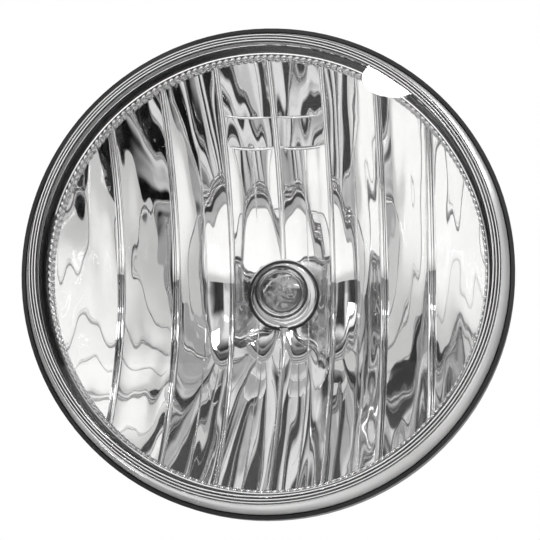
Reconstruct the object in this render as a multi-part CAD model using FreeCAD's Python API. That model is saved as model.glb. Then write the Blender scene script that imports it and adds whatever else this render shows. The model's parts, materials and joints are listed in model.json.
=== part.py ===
"""Round halogen fog lamp for a truck bumper, in millimetres.

The lamp looks along -Y. The origin is the centre of the three bolt holes, on the back face of
the mounting bracket, and +Z is up. Most places are given as a depth behind the flange plane,
which is the plane where the lens edge drops into the housing.
"""

import math
import os

import FreeCAD
import Part

V = FreeCAD.Vector
TURN = 360.0

# ---- driving dimensions -------------------------------------------------------------------
FLANGE_DEPTH = 58.0          # flange plane to the bracket's back face
LAMP_RADIUS = 57.5           # outside of the housing lip, the widest ring of the lamp
AIM_ANGLE = 4.0              # the lamp tilts this much either way, in degrees

# lens
LENS_THICKNESS = 3.0
LENS_APEX = -14.0            # depth of the dome's front
DOME_EDGE_RADIUS = 52.2
DOME_RISE = 4.0
STEP_COUNT = 3               # fine steps round the dome's edge
STEP_WIDTH = 0.7
STEP_DROP = 0.35
STEP_BULGE = 0.25
LEG_OUTER = 56.3
LEG_INNER = 54.7
LEG_END = 4.0

# housing
LIP_THICKNESS = 0.9
LIP_FRONT = -0.4
CHANNEL_FLOOR = 5.2
CHANNEL_INNER = 53.9
INNER_LIP_FRONT = -1.8
CAVITY_RADIUS = 53.1
WALL = 2.4
WALL_GAP = 1.6               # between the reflector's back and the housing
NECK_OUTER = 14.8
NECK_INNER = 11.6
NECK_END = 62.4
BAYONET_LIP = 2.2
BAYONET_BORE = 9.7

# reflector: its bowl has depth = VERTEX - r^2 / (4 BOWL_FOCAL)
BOWL_FOCAL = 16.1
VERTEX = 48.2
FACET_RADIUS = 50.9
REFLECTOR_WALL = 2.2
BULB_HOLE = 8.9
RIM_OUTER = 52.8
RIM_INNER = 51.2
RIM_FRONT = 0.5
RIM_BACK = 8.0
BRIM_RADIUS = 54.0
BRIM_FRONT = -2.7

# tilt pivots, on the X axis line at PIVOT_DEPTH
PIVOT_DEPTH = 32.0
BOSS_RADIUS = 7.0
BOSS_END = 48.8
PIVOT_PIN = 3.2
RUNNING_GAP = 0.06
INSERT_RADIUS = 4.2
INSERT_START = 42.3
WASHER_END = 49.3
ARM_INSIDE = 50.0
SHEET = 2.0                  # bracket sheet thickness
BUSH_RADIUS = 4.6
HEAD_START = 52.6
HEAD_END = 55.2

# aim adjuster, parallel to the lamp axis above it
ADJUSTER_HEIGHT = 52.0
SCREW_TIP = 26.0
SCREW_RADIUS = 2.5
SHOULDER_RADIUS = 3.6
TAB_BACK = 52.0              # back face of the bracket's adjuster tab, set in from the plate
TAB_RADIUS = 8.5
NUT_RADIUS = 4.6
NUT_FLAT = 4.2

# bracket
PLATE_RADIUS = 54.0
WINDOW_RADIUS = 27.0
ARM_HALF_WIDTH = 10.0
BOLT_CIRCLE_RADIUS = 44.0
BOLT_HOLE_RADIUS = 3.3
BOLT_ANGLES = (30.0, 150.0, 270.0)

# small fixings on the housing
FIXING_RADIUS = 34.0         # reflector screws stand on this circle
FIXING_ANGLES = (45.0, 135.0, 270.0)
FIXING_SEAT = 42.0
POST_END = 38.2              # flat seat where a reflector post meets the housing
POST_RADIUS = 3.2
PILOT_RADIUS = 1.5
SEAT_RADIUS = 4.6
RIB_ANGLES = tuple(22.5 + 45.0 * k for k in range(8))
VENT_RADIUS = 34.0
VENT_ANGLE = 225.0
VENT_END = 47.4
NIPPLE_RADIUS = 4.0
VENT_BORE = 1.8

# bulb
GLASS_RADIUS = 6.6
GLASS_WALL = 0.9
GLASS_TIP = 37.5
GLASS_SHOULDER = 49.0
PINCH_END = 54.0
PINCH_WIDTH = 9.6
PINCH_THICKNESS = 4.4
COLLAR_RADIUS = 8.5
COLLAR_WALL = 0.5
COLLAR_FRONT = 46.0
COLLAR_END = 57.0
SHIELD_DEPTH = 50.2          # steel web across the collar, behind the glass
KEY_WIDTH = 2.0              # small notch in the collar's lower edge
BASE_TOP = 55.0
BASE_RADIUS = 9.4
LUG_RADIUS = 11.2
LUG_FRONT = 57.9
LUG_BACK = 60.0
LUG_HALF_ANGLES = (12.0, 10.0, 10.0)
LUG_ANGLES = (90.0, 210.0, 330.0)
TWIST = 40.0                 # from locked to where the lugs meet the slots, in degrees
UNLOCKED_LUGS = tuple(a - TWIST for a in LUG_ANGLES)
BULB_FLANGE_RADIUS = 16.0
BULB_FLANGE_FRONT = 63.2
BULB_FLANGE_BACK = 66.2
SEAL_INNER = 11.0
SEAL_OUTER = 13.6
FILAMENT_DEPTH = 42.2
FILAMENT_LENGTH = 4.6
FILAMENT_RADIUS = 0.8
SOCKET_BACK = 78.5
SOCKET_BOTTOM = -29.0
SOCKET_HALF_WIDTH = 11.0
BLADE_SPACING = 9.0
BLADE_TIP = SOCKET_BOTTOM + 5.0
BLADE_ROOT = -6.0


# ---- helpers ------------------------------------------------------------------------------
def y_at(depth):
    """The Y coordinate of a depth behind the flange plane."""
    return depth - FLANGE_DEPTH


def polar(radius, degrees, depth):
    """A point at a radius and angle about the lamp axis; 0 degrees is +X and 90 is up."""
    a = math.radians(degrees)
    return V(radius * math.cos(a), y_at(depth), radius * math.sin(a))


def flat_point(radius, depth):
    return V(radius, y_at(depth), 0)


def straight(start, end):
    return Part.LineSegment(flat_point(*start), flat_point(*end)).toShape()


def outline(start, *steps):
    """A closed wire in the XY plane from (radius, depth) points.

    A step is a point for a straight edge, ("arc", through, end) or ("curve", points).
    """
    here, edges = start, []
    for step in steps:
        if step[0] == "arc":
            points = [here, step[1], step[2]]
            edges.append(Part.Arc(*[flat_point(*p) for p in points]).toShape())
            here = step[2]
        elif step[0] == "curve":
            points = [here] + list(step[1])
            curve = Part.BSplineCurve()
            curve.interpolate([flat_point(*p) for p in points])
            edges.append(curve.toShape())
            here = points[-1]
        else:
            edges.append(straight(here, step))
            here = step
    if math.dist(here, start) > 1e-6:
        edges.append(straight(here, start))
    return Part.Wire(edges)


def turned(start, *steps):
    """A solid turned about the lamp axis from a profile of (radius, depth) points."""
    return Part.Face(outline(start, *steps)).revolve(V(0, 0, 0), V(0, 1, 0), TURN)


def rod(radius, start, end, x=0.0, z=0.0):
    """A cylinder along the lamp axis, from one depth to another."""
    return Part.makeCylinder(radius, end - start, V(x, y_at(start), z), V(0, 1, 0))


def cross_rod(radius, start, end, side):
    """A cylinder along X at the pivot line, on one side of the lamp (+1 or -1)."""
    return Part.makeCylinder(radius, end - start, V(side * start, y_at(PIVOT_DEPTH), 0), V(side, 0, 0))


def block(x, depth, z):
    """A box from three (low, high) pairs; the middle one is a pair of depths."""
    size = [hi - lo for lo, hi in (x, depth, z)]
    return Part.makeBox(*size, V(x[0], y_at(depth[0]), z[0]))


def spun(shape, degrees):
    """The shape turned about the lamp axis, so that its +X side comes to an angle above +X."""
    copy = shape.copy()
    copy.rotate(V(0, 0, 0), V(0, -1, 0), degrees)
    return copy


def fused(shapes):
    shapes = list(shapes)
    return shapes[0].multiFuse(shapes[1:]).removeSplitter() if len(shapes) > 1 else shapes[0]


def parabola_depth(r):
    return VERTEX - r * r / (4 * BOWL_FOCAL)


def behind_reflector(r, offset):
    """The (radius, depth) point at a distance behind the reflecting surface at radius r."""
    slope = r / (2 * BOWL_FOCAL)
    length = math.hypot(slope, 1)
    return (r + offset * slope / length, parabola_depth(r) + offset / length)


def save(node, *solids):
    """Writes one node's solids as parts/NODE.step."""
    shape = solids[0] if len(solids) == 1 else Part.makeCompound(list(solids))
    shape.exportStep(f"parts/{node}.step")
    volume = sum(s.Volume for s in shape.Solids)
    print(f"{node:20s} solids {len(shape.Solids)}  valid {shape.isValid()}  volume {volume:9.1f}")


# ---- lens, its sealant and the reflector --------------------------------------------------
def dome_depth(r, apex):
    radius = (DOME_EDGE_RADIUS ** 2 + DOME_RISE ** 2) / (2 * DOME_RISE)
    return apex + radius - math.sqrt(radius ** 2 - r ** 2)


def lens():
    """Clear domed lens with fine steps at its edge and a leg that stands in the channel."""
    inner_apex = LENS_APEX + LENS_THICKNESS
    edge, half = DOME_EDGE_RADIUS, DOME_EDGE_RADIUS / 2
    inner_edge = edge + 0.2
    front = dome_depth(edge, LENS_APEX)
    steps, r, depth = [], edge, front
    for _ in range(STEP_COUNT):
        crest = (r + STEP_WIDTH / 2, depth - STEP_BULGE)
        r += STEP_WIDTH
        steps.append(("arc", crest, (r, depth)))
        depth += STEP_DROP
        steps.append((r, depth))
    return turned(
        (0, LENS_APEX),
        ("arc", (half, dome_depth(half, LENS_APEX)), (edge, front)),
        *steps,
        (LEG_OUTER, LIP_FRONT - 0.2),
        (LEG_OUTER, LEG_END),
        (LEG_INNER, LEG_END),
        (LEG_INNER, -2.2),
        (inner_edge, dome_depth(inner_edge, inner_apex)),
        ("arc", (half, dome_depth(half, inner_apex)), (0, inner_apex)),
    )


def lens_sealant():
    """Hot-melt bead that fills the channel under and inside the lens leg."""
    bead_front = LEG_END - 1.4
    channel_outer = LAMP_RADIUS - LIP_THICKNESS
    return turned(
        (CHANNEL_INNER, bead_front),
        (LEG_INNER, bead_front),
        (LEG_INNER, LEG_END),
        (channel_outer, LEG_END),
        (channel_outer, CHANNEL_FLOOR),
        (CHANNEL_INNER, CHANNEL_FLOOR),
    )


def fixing_points():
    return [polar(FIXING_RADIUS, angle, 0) for angle in FIXING_ANGLES]


def reflector():
    """Metallised bowl with a straight wall and a brim at its mouth, a bulb hole and three posts."""
    radii_out = [FACET_RADIUS - (FACET_RADIUS - BULB_HOLE) * k / 10 for k in range(1, 11)]
    radii_back = [10.5 + (50.7 - 10.5) * k / 10 for k in range(11)]
    neck_end, neck_radius = VERTEX + 1.6, BULB_HOLE + 2.1
    back = [behind_reflector(r, REFLECTOR_WALL) for r in radii_back]
    shell = turned(
        (RIM_OUTER, BRIM_FRONT + 0.6),
        (BRIM_RADIUS, BRIM_FRONT + 0.6),
        (BRIM_RADIUS, BRIM_FRONT),
        (RIM_OUTER, BRIM_FRONT),
        ("arc", (RIM_OUTER - 0.28, BRIM_FRONT + 0.12), (RIM_OUTER - 0.4, BRIM_FRONT + 0.6)),
        (RIM_OUTER - 0.8, RIM_FRONT - 0.3),
        (RIM_INNER, RIM_FRONT),
        (RIM_INNER, RIM_BACK),
        (FACET_RADIUS, parabola_depth(FACET_RADIUS)),
        ("curve", [(r, parabola_depth(r)) for r in radii_out]),
        (BULB_HOLE, neck_end),
        (neck_radius, neck_end),
        back[0],
        ("curve", back[1:]),
        (RIM_OUTER, back[-1][1] - 0.4),
    )
    reach = rod(60, 0, POST_END).cut(bowl_filling(REFLECTOR_WALL / 2))
    posts = [rod(POST_RADIUS, 25, POST_END, p.x, p.z).common(reach) for p in fixing_points()]
    pilots = [rod(PILOT_RADIUS, 33.6, 45, p.x, p.z) for p in fixing_points()]
    return fused([shell, *posts]).cut(Part.makeCompound(pilots))


# ---- housing ------------------------------------------------------------------------------
def bowl_filling(offset):
    """The solid in front of a surface at a distance behind the reflecting surface."""
    radii = [16 + (46 - 16) * k / 8 for k in range(9)]
    curve = [behind_reflector(r, offset) for r in radii]
    first = curve[0]
    return turned(
        (0, 0),
        (0, first[1]),
        first,
        ("curve", curve[1:]),
        (curve[-1][0], 0),
    )


def housing_wall(offset):
    """Points along the bowl of the housing, from the neck outwards."""
    return [behind_reflector(16 + (46 - 16) * k / 8, offset) for k in range(9)]


def cavity_mouth():
    """Points that lead the housing's inner wall from the bowl into the straight mouth."""
    return [(CAVITY_RADIUS - 0.2, 11.2), (CAVITY_RADIUS, 9.8)]


def housing_shell():
    inside, outside = REFLECTOR_WALL + WALL_GAP, REFLECTOR_WALL + WALL_GAP + WALL
    back_of_bowl = list(reversed(housing_wall(outside)))
    front_of_bowl = housing_wall(inside)
    lip_inside = LAMP_RADIUS - LIP_THICKNESS
    chamber_back = NECK_END - BAYONET_LIP
    return turned(
        (lip_inside, CHANNEL_FLOOR),
        (lip_inside, LIP_FRONT),
        (LAMP_RADIUS, LIP_FRONT),
        (LAMP_RADIUS, 6.4),
        ("arc", (57.0, 7.0), (56.2, 7.3)),
        (55.6, 8.4),
        ("curve", back_of_bowl),
        ("curve", [(NECK_OUTER + 0.6, 52.0), (NECK_OUTER, 53.0)]),
        (NECK_OUTER, NECK_END),
        (BAYONET_BORE, NECK_END),
        (BAYONET_BORE, chamber_back),
        (NECK_INNER, chamber_back),
        (NECK_INNER, 50.6),
        front_of_bowl[0],
        ("curve", front_of_bowl[1:]),
        ("curve", cavity_mouth()),
        (CAVITY_RADIUS, 0.2),
        (CAVITY_RADIUS + 0.1, INNER_LIP_FRONT),
        (CHANNEL_INNER - 0.1, INNER_LIP_FRONT),
        (CHANNEL_INNER, 0.2),
        (CHANNEL_INNER, CHANNEL_FLOOR),
    )


def housing_cavity():
    """Everything in front of the housing's inner wall, used to trim what is added outside."""
    wall = housing_wall(REFLECTOR_WALL + WALL_GAP)
    return turned(
        (0, -5),
        (0, NECK_END),
        (BAYONET_BORE, NECK_END),
        (BAYONET_BORE, 58),
        (NECK_INNER, 58),
        (NECK_INNER, 50.6),
        wall[0],
        ("curve", wall[1:]),
        ("curve", cavity_mouth()),
        (CAVITY_RADIUS, -5),
    )


def housing_rib():
    """One thin radial rib on the back of the bowl, standing in the plane of +X."""
    thickness, height = 1.8, 2.6
    offset = REFLECTOR_WALL + WALL_GAP + WALL
    radii = (42.0, 34.0, 26.0, 18.0)
    crest = [behind_reflector(r, offset + height) for r in radii]
    wire = outline(
        (50.0, 14.0),
        (53.2, 14.0),
        ("curve", [*crest, (NECK_OUTER + 2.2, 55.0)]),
        (NECK_OUTER - 1, 55.0),
        (NECK_OUTER - 1, 51.0),
        behind_reflector(30.0, offset - WALL / 2),
    )
    face = Part.Face(wire)
    face.translate(V(0, 0, -thickness / 2))
    return face.extrude(V(0, 0, thickness))


def adjuster_pocket():
    """Open-topped pocket on the housing that holds the adjuster nut between two cheeks."""
    half, wall, top, bottom = 6.9, 7.0, ADJUSTER_HEIGHT + 5.0, 33.0
    floor = ADJUSTER_HEIGHT - NUT_RADIUS - 0.4
    depth = (PIVOT_DEPTH - half, PIVOT_DEPTH + half)
    seat = NUT_RADIUS + 0.1
    outside = block((-wall, wall), depth, (bottom, top))
    room = block(
        (-NUT_FLAT - 0.15, NUT_FLAT + 0.15),
        (PIVOT_DEPTH - seat, PIVOT_DEPTH + seat),
        (floor, top),
    )
    slot_half = SCREW_RADIUS + 0.7
    way = block((-slot_half, slot_half), depth, (ADJUSTER_HEIGHT, top)).fuse(
        rod(slot_half, *depth, 0, ADJUSTER_HEIGHT)
    )
    crown = 9.5
    rounding = rod(crown, *depth, 0, top - crown).fuse(block((-wall, wall), depth, (bottom, top - crown)))
    return outside.common(rounding), room.fuse(way)


def bayonet_slots():
    """The three ways in for the bulb's lugs, through the lip at the neck's end."""
    width = 5.6
    start, end = NECK_END - BAYONET_LIP - 0.1, NECK_END
    slot = block((0, LUG_RADIUS + 0.3), (start, end), (-width / 2, width / 2))
    rim = rod(LUG_RADIUS + 0.3, start, end)
    return [spun(slot.common(rim), angle) for angle in UNLOCKED_LUGS]


def housing():
    """Black bowl with the lens channel, pivot bosses, adjuster pocket, ribs, neck and vent."""
    bosses = [cross_rod(BOSS_RADIUS, 30, BOSS_END, side) for side in (1, -1)]
    pocket, pocket_room = adjuster_pocket()
    seats = [rod(SEAT_RADIUS, 30, FIXING_SEAT, p.x, p.z) for p in fixing_points()]
    ribs = [spun(housing_rib(), a) for a in RIB_ANGLES]
    vent = polar(VENT_RADIUS, VENT_ANGLE, 0)
    nipple = rod(NIPPLE_RADIUS, 33, VENT_END, vent.x, vent.z)
    outside = fused([*bosses, pocket, *seats, *ribs, nipple]).cut(housing_cavity())
    pads = [rod(SEAT_RADIUS, POST_END, FIXING_SEAT, p.x, p.z) for p in fixing_points()]
    holes = [cross_rod(INSERT_RADIUS, INSERT_START, BOSS_END, side) for side in (1, -1)]
    holes += [rod(PILOT_RADIUS + 0.2, 28, 50, p.x, p.z) for p in fixing_points()]
    holes += [rod(POST_RADIUS + 0.15, 20, POST_END, p.x, p.z) for p in fixing_points()]
    holes.append(rod(VENT_BORE, 30, 50, vent.x, vent.z))
    holes += bayonet_slots()
    holes.append(pocket_room)
    body = housing_shell().fuse([outside, *pads]).removeSplitter()
    return body.cut(Part.makeCompound(holes))


# ---- bracket and pivots -------------------------------------------------------------------
def bracket():
    """Pressed steel yoke: a ring plate with a window, two pivot arms and an adjuster tab."""
    plate_depth = (FLANGE_DEPTH - SHEET, FLANGE_DEPTH)
    outside = ARM_INSIDE + SHEET
    tab_depth = (TAB_BACK - SHEET, TAB_BACK)
    notch = TAB_RADIUS + 0.8
    tab_foot = 41.0
    disc = rod(PLATE_RADIUS, *plate_depth).common(
        block((-outside, outside), plate_depth, (-PLATE_RADIUS, PLATE_RADIUS))
    )
    disc = disc.cut(block((-notch, notch), plate_depth, (tab_foot, PLATE_RADIUS + 1)))
    tab = rod(TAB_RADIUS, *tab_depth, 0, ADJUSTER_HEIGHT).fuse(
        [
            block((-TAB_RADIUS, TAB_RADIUS), tab_depth, (tab_foot - SHEET, ADJUSTER_HEIGHT)),
            block((-TAB_RADIUS, TAB_RADIUS), (tab_depth[0], plate_depth[1]), (tab_foot - SHEET, tab_foot)),
        ]
    )
    lip = rod(WINDOW_RADIUS + 1.6, FLANGE_DEPTH - 3.8, FLANGE_DEPTH)
    plate = disc.fuse([tab, lip]).removeSplitter()
    bend = 3.0
    arms = []
    for side in (1, -1):
        x = (ARM_INSIDE, outside) if side > 0 else (-outside, -ARM_INSIDE)
        strap = block(x, (PIVOT_DEPTH, FLANGE_DEPTH), (-ARM_HALF_WIDTH, ARM_HALF_WIDTH))
        round_end = cross_rod(ARM_HALF_WIDTH, ARM_INSIDE, outside, side)
        corner = side * ARM_INSIDE
        web = block(
            (min(corner, corner - side * bend), max(corner, corner - side * bend)),
            (FLANGE_DEPTH - SHEET - bend, FLANGE_DEPTH - SHEET),
            (-ARM_HALF_WIDTH, ARM_HALF_WIDTH),
        ).cut(
            Part.makeCylinder(
                bend,
                2 * ARM_HALF_WIDTH,
                V(corner - side * bend, y_at(FLANGE_DEPTH - SHEET - bend), -ARM_HALF_WIDTH),
            )
        )
        arms += [strap, round_end, web]
    body = plate.fuse(arms).removeSplitter()
    holes = [rod(WINDOW_RADIUS, 50, 60), rod(BUSH_RADIUS, 45, 60, 0, ADJUSTER_HEIGHT)]
    holes += [
        rod(BOLT_HOLE_RADIUS, 50, 60, p.x, p.z)
        for p in (polar(BOLT_CIRCLE_RADIUS, a, 0) for a in BOLT_ANGLES)
    ]
    holes += [cross_rod(BUSH_RADIUS, 45, 56, side) for side in (1, -1)]
    return body.cut(Part.makeCompound(holes))


def pivot_bush(side):
    """Nylon flanged bush pressed into one arm of the bracket."""
    sleeve = cross_rod(BUSH_RADIUS, ARM_INSIDE, ARM_INSIDE + SHEET + 0.2, side)
    flange = cross_rod(7.0, WASHER_END + 0.1, ARM_INSIDE, side)
    return sleeve.fuse(flange).removeSplitter().cut(cross_rod(PIVOT_PIN + RUNNING_GAP, 45, 56, side))


def pivot_screw(side):
    """Shoulder screw that carries the lamp in its bush, with a six-sided recess."""
    body = cross_rod(PIVOT_PIN, INSERT_START, HEAD_START, side).fuse(
        cross_rod(6.2, HEAD_START, HEAD_END, side)
    )
    corner_radius, recess_depth = 2.3, 1.6
    floor = side * (HEAD_END - recess_depth)
    angles = [math.radians(60 * k) for k in range(7)]
    hexagon = Part.makePolygon(
        [
            V(floor, y_at(PIVOT_DEPTH) + corner_radius * math.cos(a), corner_radius * math.sin(a))
            for a in angles
        ]
    )
    recess = Part.Face(hexagon).extrude(V(side * (recess_depth + 1), 0, 0))
    return body.removeSplitter().cut(recess)


def boss_insert(side):
    """Brass threaded insert moulded into a pivot boss."""
    sleeve = cross_rod(INSERT_RADIUS, INSERT_START, BOSS_END, side)
    return sleeve.cut(cross_rod(PIVOT_PIN, INSERT_START - 1, BOSS_END + 1, side))


def pivot_washer(side):
    """Thin washer between a boss and its bush that gives the pivot its drag."""
    return cross_rod(6.4, BOSS_END, WASHER_END, side).cut(cross_rod(PIVOT_PIN, 45, 56, side))


# ---- aim adjuster -------------------------------------------------------------------------
def hex_prism(across_flats, start, end, x, z):
    radius = across_flats / math.sqrt(3)
    angles = [math.radians(60 * k) for k in range(7)]
    corners = [V(x + radius * math.cos(a), y_at(start), z + radius * math.sin(a)) for a in angles]
    return Part.Face(Part.makePolygon(corners)).extrude(V(0, end - start, 0))


def cross_recess(x, z, depth, reach, half_width):
    """The solid to cut out of a screw head for a cross-shaped driver."""
    flat_bar = block((x - reach, x + reach), depth, (z - half_width, z + half_width))
    upright_bar = block((x - half_width, x + half_width), depth, (z - reach, z + reach))
    return flat_bar.fuse(upright_bar)


def adjuster_screw():
    """Long screw with a shoulder that turns in the bracket and a hexagon head behind it."""
    z = ADJUSTER_HEIGHT
    pieces = [
        rod(SCREW_RADIUS, SCREW_TIP, TAB_BACK - 8.0, 0, z),
        rod(SHOULDER_RADIUS, TAB_BACK - 8.0, TAB_BACK + 0.8, 0, z),
        rod(6.4, TAB_BACK + 0.8, TAB_BACK + 2.0, 0, z),
        hex_prism(8.0, TAB_BACK + 2.0, TAB_BACK + 6.0, 0, z),
    ]
    recess = (TAB_BACK + 4.5, TAB_BACK + 7.0)
    return fused(pieces).cut(cross_recess(0, z, recess, 2.2, 0.6))


def adjuster_retainer():
    """Push-on spring washer that keeps the screw in the bracket."""
    disc = rod(6.6, TAB_BACK - 4.6, TAB_BACK - 3.6, 0, ADJUSTER_HEIGHT)
    return disc.cut(rod(SHOULDER_RADIUS, 40, 60, 0, ADJUSTER_HEIGHT))


def adjuster_bush():
    """Nylon bush in the bracket's adjuster hole."""
    z = ADJUSTER_HEIGHT
    sleeve = rod(BUSH_RADIUS, TAB_BACK - SHEET - 0.1, TAB_BACK + 0.4, 0, z)
    flange = rod(7.2, TAB_BACK - SHEET - 1.2, TAB_BACK - SHEET, 0, z)
    body = sleeve.fuse(flange).removeSplitter()
    return body.cut(rod(SHOULDER_RADIUS + RUNNING_GAP, 40, 60, 0, z))


def adjuster_nut():
    """Nylon ball nut with two flats, which the pocket's walls keep from turning."""
    centre = V(0, y_at(PIVOT_DEPTH), ADJUSTER_HEIGHT)
    ball = Part.makeSphere(NUT_RADIUS, centre)
    flats = block(
        (-NUT_FLAT, NUT_FLAT),
        (PIVOT_DEPTH - 6, PIVOT_DEPTH + 6),
        (ADJUSTER_HEIGHT - 6, ADJUSTER_HEIGHT + 6),
    )
    return ball.common(flats).cut(rod(SCREW_RADIUS + RUNNING_GAP, 20, 45, 0, ADJUSTER_HEIGHT))


# ---- vent ---------------------------------------------------------------------------------
def vent_parts():
    """Rubber cap over the vent nipple, and the membrane disc that it holds."""
    p = polar(VENT_RADIUS, VENT_ANGLE, 0)
    skirt = VENT_END - 2.0
    cap = rod(NIPPLE_RADIUS + 1.4, skirt, VENT_END + 2.8, p.x, p.z)
    cap = cap.cut(rod(NIPPLE_RADIUS, skirt, VENT_END + 1.2, p.x, p.z))
    membrane = rod(3.4, VENT_END, VENT_END + 0.4, p.x, p.z)
    return cap, membrane


def reflector_screw(angle):
    """Pan-head screw that draws the reflector onto the housing."""
    p = polar(FIXING_RADIUS, angle, 0)
    shank = rod(PILOT_RADIUS, 34.2, FIXING_SEAT, p.x, p.z)
    head = rod(3.2, FIXING_SEAT, FIXING_SEAT + 2.0, p.x, p.z)
    recess = (FIXING_SEAT + 1.1, FIXING_SEAT + 3)
    return shank.fuse(head).removeSplitter().cut(cross_recess(p.x, p.z, recess, 2.0, 0.35))


# ---- bulb ---------------------------------------------------------------------------------
def capsule(radius, tip, end, corner):
    """A turned capsule outline: a low domed end with a rounded corner, and a closed back."""
    flat, crown = radius - corner, 0.5
    bend = corner * (1 - math.sqrt(0.5))
    return turned(
        (0, tip - crown),
        ("arc", (flat / 2, tip - crown * 0.75), (flat, tip)),
        ("arc", (radius - bend, tip + bend), (radius, tip + corner)),
        (radius, end - 2),
        ("arc", (radius * 0.9, end - 0.5), (radius * 0.66, end + 0.6)),
        (0, end + 0.6),
    )


def bulb_glass():
    """Quartz envelope with a low domed end and a small tip, closed by a flat pinch."""
    outer = capsule(GLASS_RADIUS, GLASS_TIP, GLASS_SHOULDER, 1.8)
    hollow = capsule(GLASS_RADIUS - GLASS_WALL, GLASS_TIP + GLASS_WALL, GLASS_SHOULDER - 1.4, 1.2)
    tip = Part.makeSphere(0.9, V(0, y_at(GLASS_TIP - 0.3), 0))
    pinch = block(
        (-PINCH_WIDTH / 2, PINCH_WIDTH / 2),
        (GLASS_SHOULDER - 0.5, PINCH_END),
        (-PINCH_THICKNESS / 2, PINCH_THICKNESS / 2),
    )
    return outer.fuse([pinch, tip]).removeSplitter().cut(hollow)


def wire(points, radius):
    """A bent wire as short rods with a ball at each bend."""
    pieces = []
    for a, b in zip(points, points[1:]):
        pieces.append(Part.makeCylinder(radius, (b - a).Length, a, b - a))
    pieces += [Part.makeSphere(radius, p) for p in points[1:-1]]
    return fused(pieces)


def bulb_filament():
    """The coil's outer shape, a thin tube on the lamp axis."""
    start, end = FILAMENT_DEPTH - FILAMENT_LENGTH / 2, FILAMENT_DEPTH + FILAMENT_LENGTH / 2
    return rod(FILAMENT_RADIUS, start, end).cut(rod(FILAMENT_RADIUS - 0.3, start, end))


def bulb_posts():
    """The two wires inside the glass that hold the coil at its ends."""
    half = FILAMENT_LENGTH / 2
    foot, wire_radius = GLASS_SHOULDER - 0.8, 0.32
    long_x, short_x = -3.0, 2.4
    reach = FILAMENT_RADIUS + wire_radius
    front, back = FILAMENT_DEPTH - half - wire_radius, FILAMENT_DEPTH + half + wire_radius
    long_post = wire(
        [V(long_x, y_at(foot), 0), V(long_x, y_at(front), 0), V(0.4, y_at(front), 0)], wire_radius
    )
    short_post = wire(
        [V(short_x, y_at(foot), 0), V(short_x, y_at(back), 0), V(-reach / 3, y_at(back), 0)], wire_radius
    )
    return long_post, short_post


def bulb_collar():
    """Stainless cup round the glass that stands in the reflector's hole."""
    cup = turned(
        (0, COLLAR_FRONT),
        (COLLAR_RADIUS - 0.8, COLLAR_FRONT),
        ("arc", (COLLAR_RADIUS - 0.24, COLLAR_FRONT + 0.24), (COLLAR_RADIUS, COLLAR_FRONT + 0.8)),
        (COLLAR_RADIUS, COLLAR_END),
        (COLLAR_RADIUS - COLLAR_WALL, COLLAR_END),
        (COLLAR_RADIUS - COLLAR_WALL, COLLAR_FRONT + COLLAR_WALL),
        (0, COLLAR_FRONT + COLLAR_WALL),
    )
    opening = rod(GLASS_RADIUS, COLLAR_FRONT - 1, COLLAR_FRONT + 2)
    key = block(
        (-KEY_WIDTH / 2, KEY_WIDTH / 2),
        (COLLAR_FRONT - 1, COLLAR_FRONT + 3),
        (-COLLAR_RADIUS - 1, -COLLAR_RADIUS + 1.1),
    )
    pinch_slot = block(
        (-PINCH_WIDTH / 2 - 0.1, PINCH_WIDTH / 2 + 0.1),
        (GLASS_SHOULDER, PINCH_END),
        (-PINCH_THICKNESS / 2 - 0.1, PINCH_THICKNESS / 2 + 0.1),
    )
    shield = rod(COLLAR_RADIUS, SHIELD_DEPTH, SHIELD_DEPTH + COLLAR_WALL).cut(pinch_slot)
    return cup.cut(opening).fuse(shield).removeSplitter().cut(key)


def bulb_leads():
    """The two leads between the pinch and the base."""
    return [rod(0.45, PINCH_END, BASE_TOP, x) for x in (-2.6, 2.6)]


def bulb_lug(angle, half_angle):
    """One bayonet lug of the base."""
    ring = rod(LUG_RADIUS, LUG_FRONT, LUG_BACK)
    width = 2 * LUG_RADIUS * math.sin(math.radians(half_angle))
    bar = block((BASE_RADIUS - 1, LUG_RADIUS + 1), (LUG_FRONT, LUG_BACK), (-width / 2, width / 2))
    return spun(bar.common(ring), angle)


def bulb_base():
    """Black base: plug, bayonet lugs, flange, finger grips and a side-facing plug socket."""
    plug_radius = COLLAR_RADIUS - COLLAR_WALL
    turned_part = turned(
        (0, BASE_TOP),
        (plug_radius, BASE_TOP),
        (plug_radius, COLLAR_END),
        (BASE_RADIUS, COLLAR_END),
        (BASE_RADIUS, BULB_FLANGE_FRONT + 1.4),
        (SEAL_OUTER, BULB_FLANGE_FRONT + 1.4),
        (SEAL_OUTER, BULB_FLANGE_FRONT),
        (BULB_FLANGE_RADIUS, BULB_FLANGE_FRONT),
        (BULB_FLANGE_RADIUS, BULB_FLANGE_BACK),
        (0, BULB_FLANGE_BACK),
    )
    lugs = [bulb_lug(a, h) for a, h in zip(LUG_ANGLES, LUG_HALF_ANGLES)]
    hub = rod(11.0, BULB_FLANGE_BACK, 76.0)
    grips = block((-15.0, 15.0), (BULB_FLANGE_BACK, 73.0), (-2.2, 2.2))
    shroud = block((-SOCKET_HALF_WIDTH, SOCKET_HALF_WIDTH), (67.0, SOCKET_BACK), (SOCKET_BOTTOM, 0.0))
    latch_height = (SOCKET_BOTTOM + 6.0, SOCKET_BOTTOM + 9.0)
    latch = block((-3.0, 3.0), (SOCKET_BACK, SOCKET_BACK + 1.6), latch_height)
    body = fused([turned_part, *lugs, hub, grips, shroud, latch])
    body = body.makeFillet(1.6, shroud_edges(body))
    hollow = block((-9.0, 9.0), (69.0, SOCKET_BACK - 2.0), (SOCKET_BOTTOM - 1, SOCKET_BOTTOM + 14.0))
    blades = [terminal(side) for side in (1, -1)]
    return body.cut(hollow).cut(Part.makeCompound(blades))


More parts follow.
